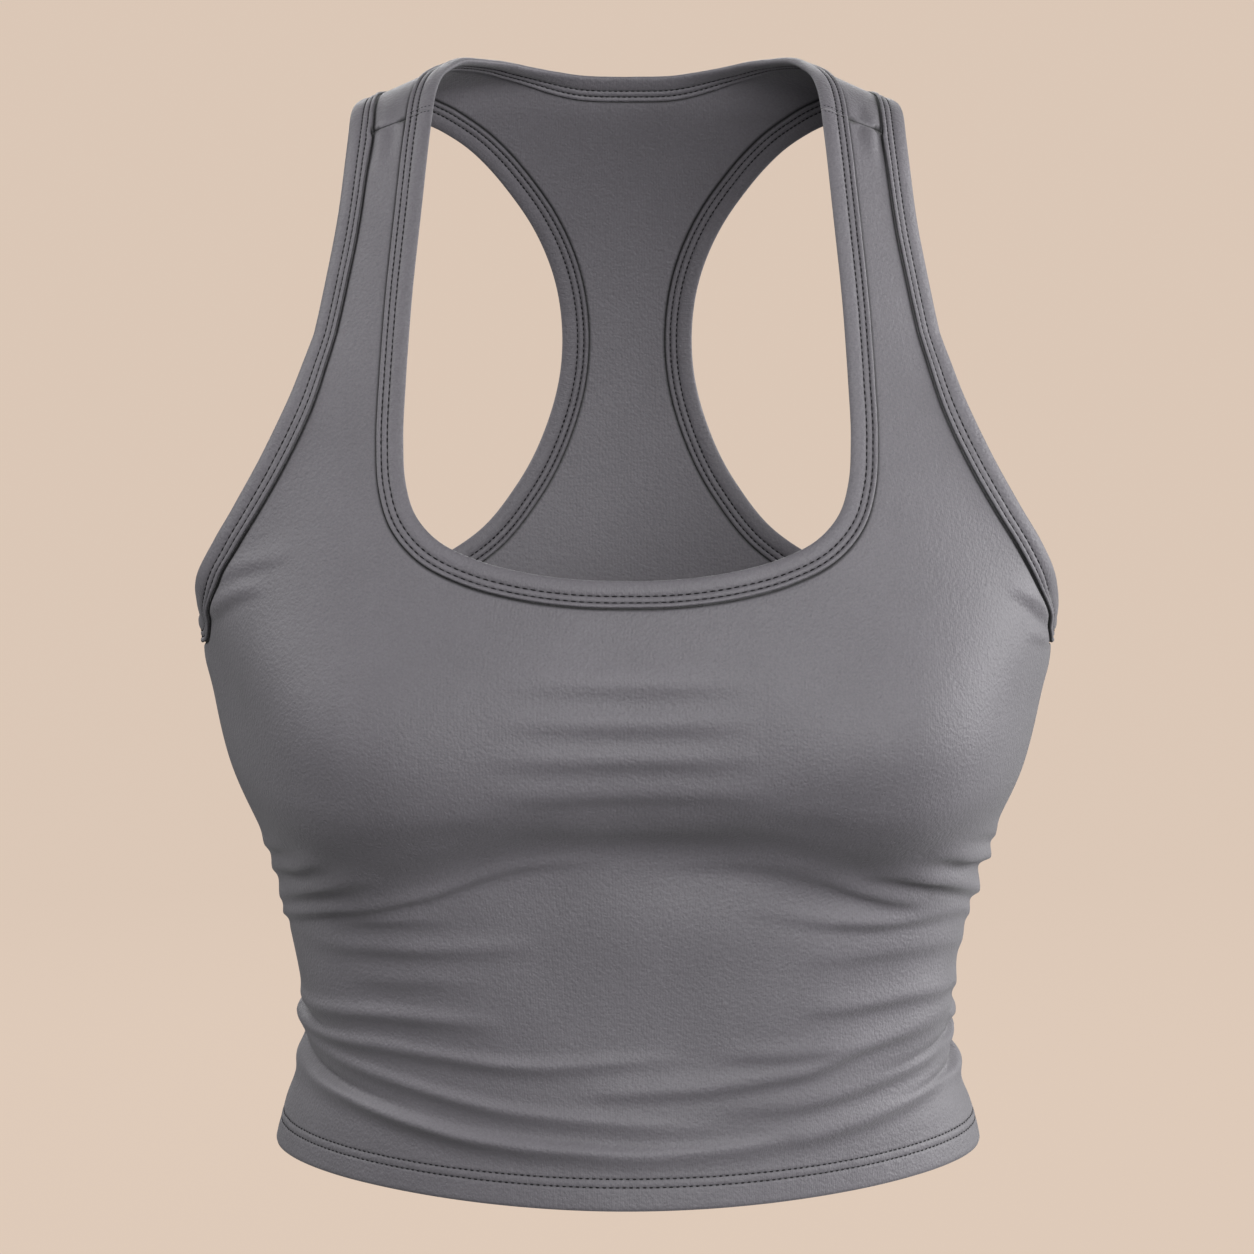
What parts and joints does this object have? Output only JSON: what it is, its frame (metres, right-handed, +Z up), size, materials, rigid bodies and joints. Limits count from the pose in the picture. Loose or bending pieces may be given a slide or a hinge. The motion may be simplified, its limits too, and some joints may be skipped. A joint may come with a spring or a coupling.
{
  "type": "racerback cropped tank top",
  "caption": "Fitted cropped tank top with a deep scooped neck, racer back, bound edges and a twin-stitched hem, open and hollow as worn.",
  "frame": {"origin": "on the line of the shoulders, at the top of the shoulder ridge and midway between the straps, where the wearer's shoulders hold the garment", "axes": "+Z up, -Y out of the front, +X to the wearer's left"},
  "size_m": [0.3072, 0.223, 0.3898],
  "materials": {
    "front_cloth": "matte brushed jersey",
    "back_cloth": "matte brushed jersey",
    "neck_binding_cloth": "matte brushed jersey",
    "armhole_binding_cloth": "matte brushed jersey"
  },
  "bodies": {
    "root": {"front_panel": "front_cloth", "back_panel": "back_cloth", "neck_binding_front": "neck_binding_cloth", "neck_binding_back": "neck_binding_cloth", "armhole_binding_left": "armhole_binding_cloth", "armhole_binding_right": "armhole_binding_cloth"}
  },
  "joints": []
}
